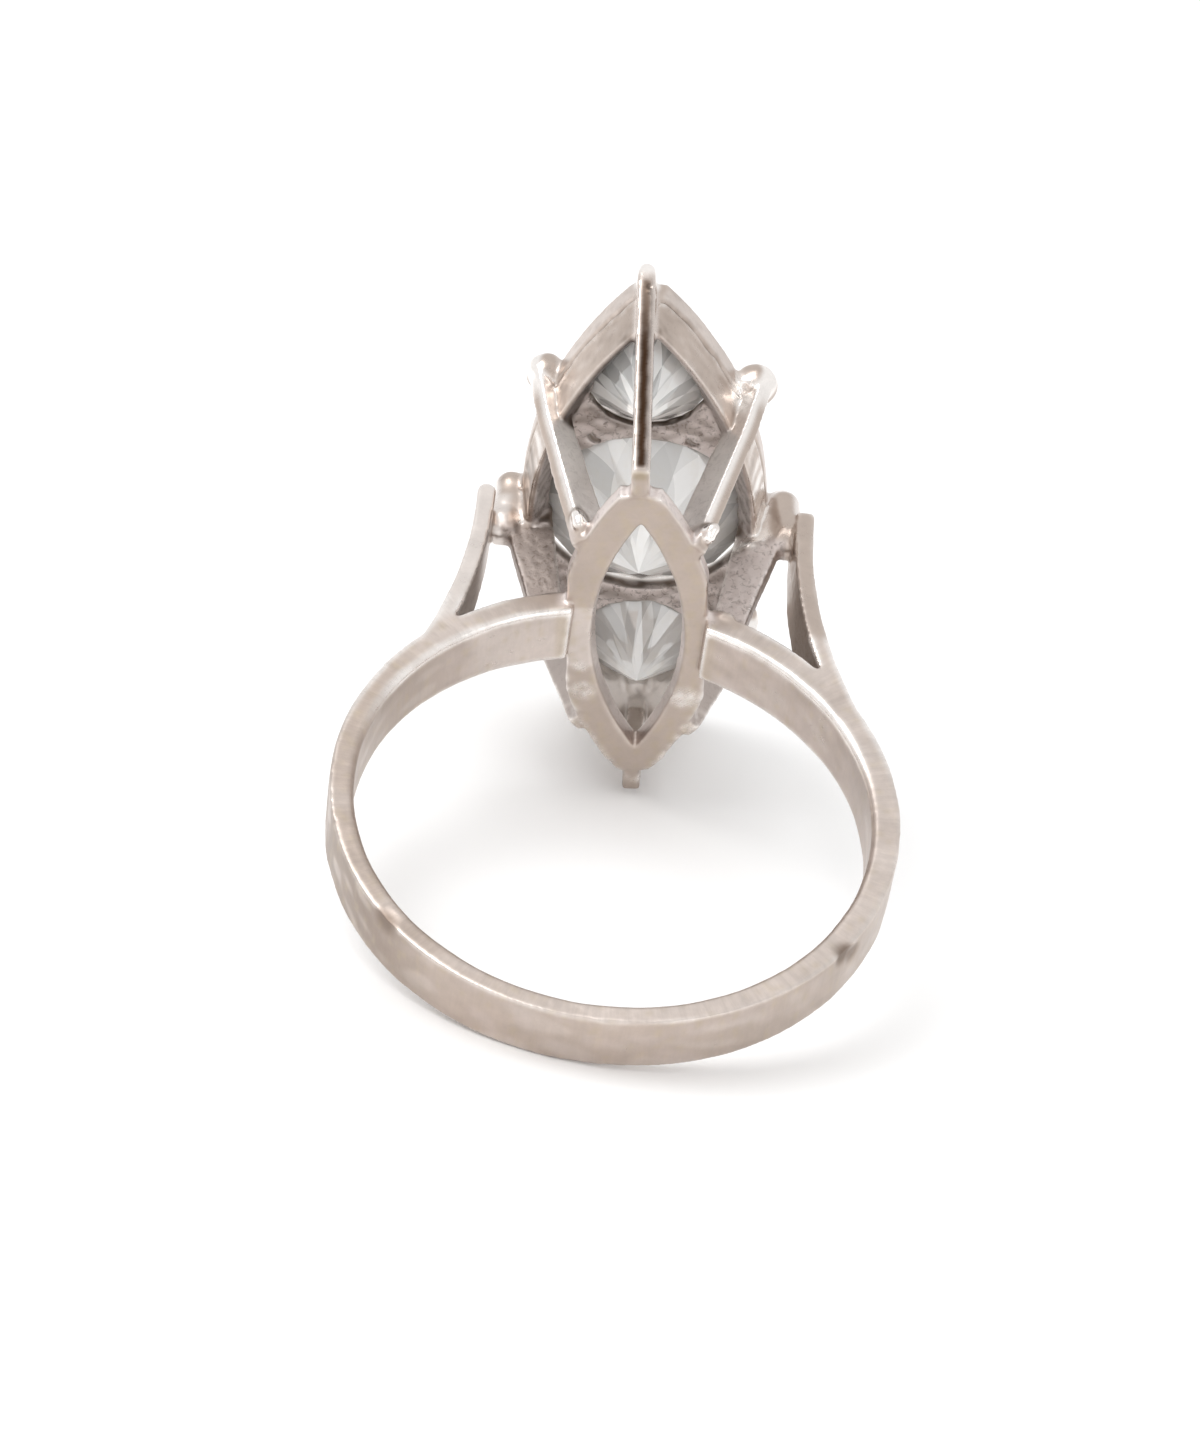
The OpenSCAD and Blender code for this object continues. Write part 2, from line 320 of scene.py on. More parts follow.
def stoneMaterial(name, place, paintedFacetLight):
    mat = bpy.data.materials.new("oldCut_" + name)
    mat.use_nodes = True
    tree = mat.node_tree
    shader = tree.nodes["Principled BSDF"]
    shader.inputs["Metallic"].default_value = 0.0
    shader.inputs["Transmission Weight"].default_value = stoneSpec["transmission"]
    shader.inputs["IOR"].default_value = stoneSpec["ior"]
    coords = tree.nodes.new("ShaderNodeTexCoord").outputs["Object"]
    clouds = useGroup(tree, bpy.data.node_groups["wornClouds"], Vector=coords,
                      Scale=stoneSpec["hazeScale"], Depth=stoneSpec["hazeDepth"])
    tint = mixColor(tree, ramp(tree, clouds.outputs["Height"], 0.45, 0.8),
                    stoneSpec["milky"], stoneSpec["clear"])
    facets = useGroup(tree, paintedFacetLight, Vector=coords,
                      Center=tuple((hoopToRow @ headToHoop @ Vector(place["at"])) * mm),
                      Darkest=place["darkest"], Star=place["star"] * mm)
    # the painted facet light darkens and lightens the stone's tint
    tint = mixColor(tree, 1.0, tint, facets.outputs["Shade"], "MULTIPLY")
    tree.links.new(mixColor(tree, 1.0, tint, clouds.outputs["Shade"], "MULTIPLY"),
                   shader.inputs["Base Color"])
    dull = ramp(tree, clouds.outputs["Height"], 0.5, 1.0, stoneSpec["rough"],
                stoneSpec["dullest"])
    tree.links.new(dull, shader.inputs["Roughness"])
    return mat


floorSpec = {
    "tints": ((0.95, 0.95, 0.95, 1), (0.97, 0.97, 0.97, 1)),
    "rough": 0.85, "gloss": 0.1, "reach": 0.6,
}


def floorMaterial():
    mat = bpy.data.materials.new("paleFloor")
    mat.use_nodes = True
    tree = mat.node_tree
    shader = tree.nodes["Principled BSDF"]
    coords = tree.nodes.new("ShaderNodeTexCoord").outputs["Object"]
    tint = mixColor(tree, noise(tree, coords, 8, 3, 0.5), *floorSpec["tints"])
    tree.links.new(tint, shader.inputs["Base Color"])
    shader.inputs["Roughness"].default_value = floorSpec["rough"]
    shader.inputs["Specular IOR Level"].default_value = floorSpec["gloss"]
    return mat


# the camera, as it was fitted to the photograph in the head's axes

cameraSpec = {
    "azimuth": 0.04364, "elevation": -0.75047, "roll": 0.08513,
    "distance": 160.0, "focal": 4816.1, "across": -0.7006, "above": 3.6531,
    "sensor": 36, "photoHeight": 1434,
}


def makeCamera():
    spec = cameraSpec
    back = Vector((math.sin(spec["azimuth"]) * math.cos(spec["elevation"]),
                   -math.cos(spec["azimuth"]) * math.cos(spec["elevation"]),
                   math.sin(spec["elevation"])))
    side = (-back).cross(Vector((0, 0, 1))).normalized()
    up = side.cross(-back)
    right = math.cos(spec["roll"]) * side + math.sin(spec["roll"]) * up
    top = -math.sin(spec["roll"]) * side + math.cos(spec["roll"]) * up
    place = back * spec["distance"] + right * spec["across"] + top * spec["above"]
    toRow = hoopToRow @ headToHoop
    turn = toRow.to_3x3()
    axes = [turn @ right, turn @ top, turn @ back]
    data = bpy.data.cameras.new("camera")
    cam = linked(bpy.data.objects.new("camera", data))
    cam.matrix_world = (Matrix.Translation((toRow @ place) * mm)
                        @ Matrix([[axes[c][r] for c in range(3)] for r in range(3)]).to_4x4())
    data.sensor_width = spec["sensor"]
    data.lens = spec["focal"] * spec["sensor"] / spec["photoHeight"]
    data.clip_start, data.clip_end = 0.01, 10
    bpy.context.scene.camera = cam
    print("camera", round(math.degrees(math.asin(axes[2].z)), 1), "degrees above the floor")


# beads of solder, in the head's axes: from and to in millimetres, how many, their radius
# and how far each strays from the line, or one bead at each end
solderRows = [
    {"from": (-4.8, -0.05, 15.75), "to": (-4.95, -0.05, 13.9), "count": 10, "radius": 0.62,
     "stray": 0.01, "melt": True},
    {"from": (-4.45, -0.12, 15.2), "to": (-4.4, -0.15, 14.0), "count": 8, "radius": 0.42,
     "stray": 0.02, "melt": True},
    {"from": (4.8, -0.05, 15.55), "to": (4.95, -0.1, 13.9), "count": 10, "radius": 0.6,
     "stray": 0.02, "melt": True},
    {"from": (4.45, -0.12, 15.0), "to": (4.4, -0.15, 13.8), "count": 8, "radius": 0.42,
     "stray": 0.04, "melt": True},
    {"from": (-3.64, -5.6, 15.85), "to": (3.64, -5.55, 15.85), "radius": 0.76,
     "stray": 0, "ends": True},
    {"from": (-3.6, 5.85, 15.8), "to": (3.6, 5.85, 15.8), "radius": 0.62,
     "stray": 0, "ends": True},
    {"from": (-3.1, -5.3, 14.6), "to": (-3.3, -5.6, 15.7), "count": 7, "radius": 0.3,
     "stray": 0.06},
    {"from": (-4.8, -0.3, 13.7), "to": (-3.4, -0.3, 13.85), "count": 12, "radius": 0.13,
     "stray": 0.04},
    {"from": (3.5, -0.3, 13.05), "to": (5.1, -0.3, 14.0), "count": 12, "radius": 0.15,
     "stray": 0.06},
    {"from": (3.2, -5.3, 14.6), "to": (3.15, -5.75, 15.75), "count": 12, "radius": 0.17,
     "stray": 0.2},
    {"from": (-2.0, -4.75, 9.3), "to": (-2.15, -4.8, 9.8), "count": 3, "radius": 0.28,
     "stray": 0.04},
    {"from": (2.3, -4.6, 9.15), "to": (2.5, -4.75, 9.5), "count": 3, "radius": 0.24,
     "stray": 0.04},
    {"from": (-1.7, -3.82, 14.95), "to": (1.7, -3.82, 14.95), "radius": 0.27,
     "stray": 0, "ends": True},
    {"from": (-1.7, 3.82, 14.95), "to": (1.7, 3.82, 14.95), "radius": 0.27,
     "stray": 0, "ends": True},
    {"from": (-3.2, -0.9, 8.75), "to": (-2.4, -1.0, 9.1), "count": 4, "radius": 0.22,
     "stray": 0.05},
    {"from": (2.6, -1.0, 9.2), "to": (3.2, -1.0, 8.9), "count": 3, "radius": 0.2,
     "stray": 0.05},
]


beadSpec = {"strewSeed": 41, "spread": (0.9, 1.1), "inputs": {"Size": 1.0, "Lump": 0.12, "Seed": 7}}


# a tree that puts a lumpy ball of its own reach on every point it is given
def beadTree():
    tree, source, out = newGroup(
        "solderBeads",
        [("Points", "NodeSocketGeometry", None), ("Size", "NodeSocketFloat", 1.0),
         ("Lump", "NodeSocketFloat", 0.1), ("Seed", "NodeSocketInt", 7),
         ("Material", "NodeSocketMaterial", None)],
        [("Beads", "NodeSocketGeometry")], "GeometryNodeTree")
    nodes, links = tree.nodes, tree.links
    ball = nodes.new("GeometryNodeMeshIcoSphere")
    ball.inputs["Radius"].default_value = 1.0
    ball.inputs["Subdivisions"].default_value = 3
    reach = addNode(tree, "GeometryNodeInputNamedAttribute", data_type="FLOAT", in_Name="reach")
    vary = addNode(tree, "FunctionNodeRandomValue", data_type="FLOAT")
    low, high = [s for s in vary.inputs if s.name in ("Min", "Max") and s.enabled]
    low.default_value, high.default_value = beadSpec["spread"]
    links.new(source.outputs["Seed"], vary.inputs["Seed"])
    share = [s for s in vary.outputs if s.enabled][0]
    size = mathNode(tree, "MULTIPLY", mathNode(tree, "MULTIPLY", reach.outputs[0], share),
                    source.outputs["Size"])
    place = nodes.new("GeometryNodeInstanceOnPoints")
    links.new(source.outputs["Points"], place.inputs["Points"])
    links.new(ball.outputs["Mesh"], place.inputs["Instance"])
    links.new(size, place.inputs["Scale"])
    real = nodes.new("GeometryNodeRealizeInstances")
    links.new(place.outputs["Instances"], real.inputs["Geometry"])
    lumps = addNode(tree, "ShaderNodeTexNoise", in_Scale=2.2, in_Detail=2.0)
    push = nodes.new("ShaderNodeVectorMath")
    push.operation = "SCALE"
    links.new(nodes.new("GeometryNodeInputNormal").outputs[0], push.inputs[0])
    links.new(mathNode(tree, "MULTIPLY", mathNode(tree, "SUBTRACT", lumps.outputs["Fac"], 0.5),
                       source.outputs["Lump"]), push.inputs["Scale"])
    move = nodes.new("GeometryNodeSetPosition")
    links.new(real.outputs["Geometry"], move.inputs["Geometry"])
    links.new(push.outputs[0], move.inputs["Offset"])
    paint = nodes.new("GeometryNodeSetMaterial")
    links.new(move.outputs["Geometry"], paint.inputs["Geometry"])
    links.new(source.outputs["Material"], paint.inputs["Material"])
    links.new(paint.outputs["Geometry"], out.inputs["Beads"])
    return tree


def solderBeads(mat):
    rng = np.random.default_rng(beadSpec["strewSeed"])
    places, reaches = [], []
    for row in solderRows:
        start, end = np.array(row["from"], float), np.array(row["to"], float)
        if row.get("ends"):
            shares = (0, 1)
        else:
            shares = (np.arange(row["count"]) + 0.5) / row["count"]
        for share in shares:
            stray = rng.uniform(-1, 1, 3) * row["stray"]
            places.append(start + (end - start) * share + stray)
            reaches.append(row["radius"] * rng.uniform(*beadSpec["spread"]))
    mesh = bpy.data.meshes.new("beadPlaces")
    mesh.from_pydata(moved(np.array(places), headToHoop).tolist(), [], [])
    layer = mesh.attributes.new("reach", "FLOAT", "POINT")
    layer.data.foreach_set("value", reaches)
    work = meshObject("beadWork", mesh)
    tree = beadTree()
    grow = work.modifiers.new("beads", "NODES")
    grow.node_group = tree
    inputs = {**beadSpec["inputs"], "Material": mat}
    for item in tree.interface.items_tree:
        if item.in_out == "INPUT" and item.name in inputs:
            grow[item.identifier] = inputs[item.name]
    graph = bpy.context.evaluated_depsgraph_get()
    made = bpy.data.meshes.new_from_object(work.evaluated_get(graph))
    work.modifiers.remove(grow)
    bpy.data.objects.remove(work)
    print("solder beads", len(places), "faces", len(made.polygons))
    return made


# the mount's worn skin

skinSpec = {
    "voxel": 0.062, "weld": 0.001,    # millimetres
    "quickStep": 1.5,
    "shares": (0.5, -0.52),    # there and back, so that thin plates keep their thickness
    "rounds": 8, "melted": 24, "soft": 10,    # for all, then melted solder, then soft places
    "cuts": {"hoop_skin": (-20, 7.6), "shoulder_skin": (7.6, 11.6),
             "claw_skin": (11.6, 14.3), "gallery_skin": (14.3, 20)},
}


def vectors(collection, count, key):
    values = np.zeros(count * 3, np.float32)
    collection.foreach_get(key, values)
    return values.reshape(-1, 3).astype(float)


def moved(points, matrix):
    m = np.array(matrix)
    return points @ m[:3, :3].T + m[:3, 3]


def neighbourMean(values, pairs, count):
    total = np.zeros_like(values)
    for a, b in ((0, 1), (1, 0)):
        for c in range(values.shape[1]):
            total[:, c] += np.bincount(pairs[:, a], values[pairs[:, b], c], len(values))
    return total / count[:, None]


# bend of the surface: positive on outer edges, negative in hollows
def bendOf(points, normal, pairs, count, rounds):
    wide = points
    for _ in range(rounds):
        wide = neighbourMean(wide, pairs, count)
    bend = np.einsum("ij,ij->i", points - wide, normal)[:, None]
    return neighbourMean(bend, pairs, count)[:, 0]


def smoothStep(x, low, high):
    t = np.clip((x - low) / (high - low), 0, 1)
    return t * t * (3 - 2 * t)


def band(x, low, high, blur):
    return smoothStep(x, low - blur, low + blur) * (1 - smoothStep(x, high - blur, high + blur))


# the gallery's outer wall and the base ring's outline: two arcs that meet in a point
wallSpec = {"arc": 15.05, "inset": 10.6, "middle": -0.1, "top": 16, "height": 2.3, "flare": 0.4}
baseSpec = {"arc": 11.9, "inset": 9.15, "halfWidth": 2.4}


# how deep a point lies under the gallery's flared outer wall
def underWall(x, y, z):
    flare = wallSpec["flare"] * (wallSpec["top"] - z) / wallSpec["height"]
    reach = np.sqrt(np.clip((wallSpec["arc"] - flare) ** 2 - y ** 2, 0, None))
    return reach - wallSpec["inset"] - np.abs(x - wallSpec["middle"])


# how far a point lies inside the base ring's pointed outline
def underBase(x, y):
    reach = np.sqrt(np.clip(baseSpec["arc"] ** 2 - y ** 2, 0, None)) - baseSpec["inset"]
    return np.minimum(baseSpec["halfWidth"], reach) - np.abs(x)


def near(points, centre, radius):
    d = np.linalg.norm(points - np.array(centre), axis=1)
    return 1 - smoothStep(d, 0.4 * radius, radius)


rippleWaves = 14


# a smooth random field of about the given wave length, from -1 to 1
def ripple(points, wave, seed):
    rng = np.random.default_rng(seed)
    total = np.zeros(len(points))
    for _ in range(rippleWaves):
        way = rng.normal(size=3)
        way *= rng.uniform(0.6, 1.8) * 2 * math.pi / (wave * np.linalg.norm(way))
        total += np.sin(points @ way + rng.uniform(0, 6.28))
    return np.clip(total / 5, -1, 1)


# the height at a point, as it wanders for the groove round the gallery
def wandering(points, z):
    return z + 0.05 * ripple(points, 1.4, 11)


# the webs' hammered look, longer across the head than along it
def hammered(points):
    return ripple(points * [0.5, 1.6, 1], 0.6, 12)


# dark worn marks and dents on the hoop: place in the hoop's axes, reach, depth
hoopMarks = [
    {"at": (-7.2, -1.0, -6.3), "reach": 0.75, "deep": 0.06, "dark": 0.9},
    {"at": (7.9, -0.9, -5.3), "reach": 0.6, "deep": 0.06, "dark": 1.0},
    {"at": (8.15, -0.5, -4.8), "reach": 0.5, "deep": 0.05, "dark": 0.8},
]


def tone(red, green, blue):
    return np.array([((c / 255 + 0.055) / 1.055) ** 2.4 for c in (red, green, blue)])


# the metal's colors by how worn, soldered or rough the place is, and for the painted shade,
# shadows, highlights and reflections
tones = {
    "beige": tone(190, 176, 166),
    "pink": tone(200, 187, 180),
    "pale": tone(212, 201, 194),
    "silver": tone(247, 242, 238),
    "mauve": tone(230, 220, 216),
    "rough": tone(196, 185, 180),
    "brown": tone(138, 123, 112),
    "dark": tone(56, 40, 29),
    "yellow": tone(192, 177, 150),
}


class Paint:
    def __init__(self, count):
        self.tint = np.tile(tones["beige"], (count, 1))
        self.rough = np.full(count, 0.34)
        self.grain = np.zeros(count)
        self.drawn = np.zeros(count)

    def lay(self, mask, color, rough=None, grain=None):
        mask = np.clip(mask, 0, 1)
        self.tint += mask[:, None] * (tones[color] - self.tint)
        if rough is not None:
            self.rough += mask * (rough - self.rough)
        if grain is not None:
            self.grain += mask * (grain - self.grain)


# the near claw leans a little from its foot
nearClawSpec = {"lean": 0.0349, "foot": 8.78}


# the skin's points in the hoop's axes and in the head's, with the masks that the paints share
class Skin:
    def __init__(self, points, normal, pairs, count):
        self.points = points
        self.normal = normal
        self.head = moved(points, hoopToHead)
        self.facing = normal @ np.array(hoopToHead.to_3x3()).T
        x, y, z = self.head.T
        self.radius = np.hypot(points[:, 0], points[:, 2])
        self.fine = ripple(points, 0.45, 4)
        self.tiny = ripple(points, 0.2, 5)
        # a field for the painted streaks of reflection on the gallery's sides
        self.streaks = ripple(self.head * [0.5, 1, 0.05], 0.9, 14)

        self.bend = bendOf(points, normal, pairs, count, 5)
        self.edge = smoothStep(self.bend, 0.012, 0.03)
        self.hollow = smoothStep(-self.bend, 0.008, 0.03)

        self.onHoop = 1 - smoothStep(z, 8.3, 8.7)
        self.shell = smoothStep(z, 13.5, 13.7) * (1 - smoothStep(np.abs(x), 4.5, 4.6))
        self.deep = underWall(x, y, z)
        self.fromTip = x + nearClawSpec["lean"] * (z - nearClawSpec["foot"])
        front = smoothStep(-y, 7.4, 7.8) * (1 - smoothStep(np.abs(self.fromTip), 0.4, 0.5))
        self.front = front * smoothStep(z, 8.8, 9.0)
        self.outside = self.shell * band(self.deep, -0.1, 0.14, 0.05) * (1 - self.front)
        self.within = (self.shell * smoothStep(self.deep, 0.12, 0.25)
                       * smoothStep(-self.facing[:, 2], 0.05, 0.3))
        # the near claw's painted dark reflection, down the middle of its front
        strip = self.front * smoothStep(-self.facing[:, 1], 0.4, 0.55)
        strip *= (1 - smoothStep(np.abs(self.fromTip), 0.15, 0.21)) * band(z, 9.0, 15.35, 0.12)
        self.strip = np.clip(strip * 1.3, 0, 1)


# the hoop: pale inside and on its near face, drawn scratches along its faces
def paintHoop(skin, paint):
    onHoop, points, radius = skin.onHoop, skin.points, skin.radius
    x, _, z = skin.head.T
    flat = onHoop * smoothStep(np.abs(skin.normal[:, 1]), 0.7, 0.9)
    inner = onHoop * (1 - smoothStep(radius, 8.62, 8.75)) * (1 - flat)
    outer = onHoop * smoothStep(radius, 9.0, 9.2) * (1 - flat)
    paint.lay(onHoop * smoothStep(ripple(points, 1.6, 3), -0.2, 0.9) * 0.6, "pink")
    paint.lay(flat * 0.8, "beige", 0.42)
    paint.lay(flat * smoothStep(x, -7, 0) * 0.7, "pale")
    paint.lay(flat * smoothStep(-x, 3, 6) * smoothStep(z, 4, 7) * 0.8, "pale")
    paint.lay(inner * 0.5, "pink", 0.3)
    paint.lay(inner * smoothStep(-x, 6, 7) * 0.8, "beige", 0.36)
    paint.lay(outer * smoothStep(-x, 5, 8) * 0.6, "brown", 0.4)
    paint.lay(inner * band(-x, 2, 5.6, 0.4) * smoothStep(z, 2, 4) * 0.8, "pale", 0.3)
    paint.lay(onHoop * smoothStep(skin.fine, 0.45, 0.9) * 0.35, "yellow")
    smear = ripple(points * [1, 2, 1], 2.2, 18)
    paint.lay(onHoop * smoothStep(smear, 0.2, 0.9) * 0.4, "pale", 0.26)
    paint.lay(onHoop * smoothStep(-smear, 0.3, 1.0) * 0.15, "brown", 0.42)
    paint.drawn = onHoop * (0.25 + 0.3 * flat)
    for spot in hoopMarks:
        paint.lay(spot["dark"] * near(points, spot["at"], spot["reach"]), "brown", 0.5)


# rubbed corners of the base ring, where painted glints sparkle, in the head's axes
baseSparkles = [
    {"at": (1.75, 2.9, 8.8), "reach": 0.7},
    {"at": (-1.8, 2.8, 8.8), "reach": 0.6},
    {"at": (-1.9, 1.6, 8.8), "reach": 0.35},
]


# the base ring: flat and beige, its hole's wall grey, its rim speckled with painted glints
def paintBase(skin, paint):
    x, y, z = skin.head.T
    base = band(z, 8.5, 9.6, 0.08) * (1 - smoothStep(np.abs(x), 2.5, 2.9))
    wall = base * smoothStep(0.5 - np.abs(skin.facing[:, 2]), 0.0, 0.3)
    below = base * smoothStep(-skin.facing[:, 2], 0.6, 0.9)
    paint.lay(wall, "mauve", 0.4, 0.3)
    paint.lay(wall * smoothStep(y, 0.5, 2.5) * 0.55, "brown", 0.45)
    paint.lay(base * band(y, -1.3, 1.6, 0.06) * smoothStep(-x, 0.5, 0.9), "pale", 0.3)
    paint.lay(below * smoothStep(skin.fine, 0.0, 0.8) * 0.4, "yellow")
    # painted glints: silver speckles along the far rim
    rim = smoothStep(y, 3.6, 4.4) * base * band(underBase(x, y), -0.3, 0.22, 0.08)
    paint.lay(rim * smoothStep(skin.tiny, -0.1, 0.6) * 0.6, "silver", 0.16)
    speckle = smoothStep(skin.tiny + ripple(skin.points, 0.14, 15), -0.5, 0.5)
    # painted glints on the rubbed corners
    for spot in baseSparkles:
        paint.lay(near(skin.head, spot["at"], spot["reach"]) * speckle * 0.8, "silver", 0.14)
    joint = skin.onHoop * band(np.abs(x), 2.15, 2.75, 0.08) * smoothStep(z, 7.9, 8.2)
    paint.lay(joint * 0.35, "yellow", 0.4, 0.25)


# the arms: rough and brown in the fork, pale on their faces, on a head that starts beige
def paintArms(skin, paint):
    x, _, z = skin.head.T
    paint.lay(smoothStep(z, 9.6, 10.2), "beige", 0.3)
    arm = band(skin.radius, 9.7, 20, 0.2) * smoothStep(np.abs(x), 4.4, 5.0)
    arm *= 1 - smoothStep(z, 14.7, 15)
    paint.lay(arm * smoothStep(-x, 4, 5) * 0.8, "pale", 0.3)
    paint.lay(arm * smoothStep(-x, 4, 5) * 0.4, "silver")
    inside = arm * smoothStep(-skin.facing[:, 0] * np.sign(x), 0.3, 0.7)
    paint.lay(inside * (1 - smoothStep(z, 9.5, 12.5)) * 0.8, "brown", 0.55, 0.7)


# the slanted claws' feet and how far each turns from straight out, and the beads at the near ones
slantedSpec = {
    "footX": 2.1, "footY": 4.55, "shiftY": 0.15, "splay": 38, "halfThick": 0.36,
    "footBeads": [{"at": (-2.05, -4.78, 9.55), "reach": 0.42},
                  {"at": (2.4, -4.68, 9.3), "reach": 0.36}],
}


# where each slanted claw stands in the head and which way it points
def slantedClaws():
    found = []
    footX, footY = slantedSpec["footX"], slantedSpec["footY"]
    for turn in (0, math.pi):
        for end in (-1, 1):
            way = turn + math.radians(end * slantedSpec["splay"])
            found.append({
                "x": footX * math.cos(turn) - end * footY * math.sin(turn),
                "y": footX * math.sin(turn) + end * footY * math.cos(turn) + slantedSpec["shiftY"],
                "out": (math.cos(way), math.sin(way))})
    return found


# the slanted claws: front edges with a painted highlight on their near half, grey faces, darker on
# the head's far half
def paintSlantedClaws(skin, paint):
    x, y, z = skin.head.T
    thick = slantedSpec["halfThick"]
    for claw in slantedClaws():
        outX, outY = claw["out"]
        out = (x - claw["x"]) * outX + (y - claw["y"]) * outY
        across = -(x - claw["x"]) * outY + (y - claw["y"]) * outX
        turned = skin.facing[:, 0] * outX + skin.facing[:, 1] * outY
        mine = (1 - smoothStep(np.abs(across), thick, thick + 0.06)) * band(out, -1.5, 2.9, 0.1)
        mine *= smoothStep(z, 9.5, 9.9)
        onEdge = mine * smoothStep(turned, 0.35, 0.6)
        nearSide = across * np.sign(-outX)
        paint.lay(mine, "silver", 0.42, 0.2)
        if claw["x"] > 0:
            paint.lay(mine * 0.35, "rough")
        if claw["y"] > 0:
            paint.lay(mine * 0.9, "rough", 0.36)
            paint.lay(mine * 0.35, "brown")
        paint.lay(onEdge, "beige", 0.3, 0.0)
        # painted highlight along the near half of each claw's front edge
        paint.lay(onEdge * smoothStep(nearSide, -0.05, 0.2), "silver", 0.12, 0.0)
        paint.lay(mine * smoothStep(z, 14.3, 15.2), "silver", 0.2, 0.0)
    for bead in slantedSpec["footBeads"]:
        reach = bead["reach"]
        far = np.linalg.norm(skin.head - np.array(bead["at"]), axis=1)
        above = smoothStep(z, bead["at"][2], bead["at"][2] + 0.3)
        paint.lay(band(far, reach, reach + 0.1, 0.04) * above, "brown", 0.4)
        paint.lay(1 - smoothStep(far, reach - 0.08, reach), "silver", 0.12, 0.0)


# where the side claws' outer edges run, and the heights at which their solder begins
sideClawSpec = {
    "edge": 4.65, "flare": 0.25, "flareFrom": 12,
    "leftCrust": 13.65, "rightCrust": 12.95, "rise": 0.6, "riseFrom": 3.4, "wavy": 0.15,
}


# the side claws: rough grey plates below a crust of bright solder
def paintSideClaws(skin, paint):
    spec = sideClawSpec
    x, y, z = skin.head.T
    beside = smoothStep(np.abs(x), 2.4, 2.6) * (1 - smoothStep(np.abs(y), 0.45, 0.6))
    edge = spec["edge"] + spec["flare"] * (z - spec["flareFrom"])
    beside *= smoothStep(z, 9.3, 9.6) * smoothStep(edge - np.abs(x), -0.08, 0.08)
    right = spec["rightCrust"] + spec["rise"] * (x - spec["riseFrom"])
    crust = np.where(x < 0, spec["leftCrust"], right) + spec["wavy"] * skin.fine
    below = beside * (1 - smoothStep(z, crust - 0.05, crust + 0.05))
    solder = beside * smoothStep(z, crust + 0.3, crust + 0.5)
    paint.lay(below, "rough", 0.5, 0.6)
    paint.lay(below * np.where(x < 0, 0.4, 0), "brown")
    paint.lay(below * np.where(x > 0, 0.5, 0), "mauve")
    paint.lay(beside * smoothStep(z, crust - 0.05, crust + 0.05), "silver", 0.24, 0.0)
    paint.lay(solder * 0.4, "mauve", 0.24)
    drips = ripple(skin.head * [1, 1, 0.25], 0.35, 16)
    paint.lay(solder * smoothStep(drips, 0.2, 0.7) * 0.5, "beige", 0.25)
    paint.lay(beside * band(z, crust - 0.14, crust, 0.04) * 0.6, "brown", 0.4)


# the near end's claw: a painted dark reflection down its front, between pale edges painted as
# highlights
def paintNearClaw(skin, paint):
    z = skin.head[:, 2]
    # painted highlight: the claw's front is painted pale on either side of the dark reflection
    paint.lay(skin.front, "pale", 0.25, 0.0)
    paint.lay(skin.front * smoothStep(z, 15.5, 15.8), "silver", 0.15)
    # painted dark reflection down the middle of the front
    paint.lay(skin.strip, "brown", 0.4)
    paint.lay(skin.strip * (1 - 0.5 * smoothStep(z, 12.8, 15.3)), "dark")


# the gallery's wall: a grey rim above a groove, a beige belt, painted streaks of reflection towards
# the sides and on the far half
def paintGallery(skin, paint):
    x, y, z = skin.head.T
    outside, fine, streaks = skin.outside, skin.fine, skin.streaks
    wander = wandering(skin.points, z)
    paint.lay(outside * smoothStep(z, 15.2, 15.3), "pale", 0.35, 0.15)
    paint.lay(outside * band(z, 13.6, 14.95, 0.05), "beige", 0.3, 0.1)
    smear = ripple(skin.head * [1, 1, 2.5], 1.1, 17)
    paint.lay(outside * smoothStep(smear, 0.1, 0.9) * 0.35, "pale", 0.26)
    paint.lay(outside * smoothStep(-smear, 0.3, 1.0) * 0.22, "brown", 0.4)
    groove = outside * band(wander, 15.03, 15.17, 0.04)
    paint.lay(groove * smoothStep(fine, -0.9, 0.1) * 0.8, "brown", 0.5)
    ridge = outside * band(wander, 14.88, 14.98, 0.06)
    paint.lay(ridge * smoothStep(fine, -0.1, 0.8) * 0.6, "silver", 0.15)
    corner = outside * smoothStep(1.1 - np.abs(skin.fromTip), 0.0, 0.4)
    corner *= 1 - smoothStep(z, 13.9, 14.3)
    paint.lay(corner * smoothStep(fine, -0.4, 0.4) * 0.7, "brown", 0.45)
    # painted reflections: silver and brown streaks towards the sides
    ends = outside * smoothStep(np.abs(x), 3.4, 3.9) * (1 - smoothStep(z, 15.0, 15.2))
    paint.lay(ends * smoothStep(streaks, 0.1, 0.5) * 0.8, "silver", 0.15)
    paint.lay(ends * smoothStep(-streaks, 0.2, 0.5) * 0.8, "brown", 0.3)
    # the far half: beige, with painted streaks of reflection
    farSide = outside * smoothStep(y, 0.8, 1.8)
    paint.lay(farSide * 0.75, "beige", 0.28)
    paint.lay(farSide * smoothStep(streaks, -0.1, 0.4) * 0.5, "brown", 0.3)
    paint.lay(farSide * smoothStep(-streaks, 0.3, 0.6) * 0.7, "silver", 0.18)
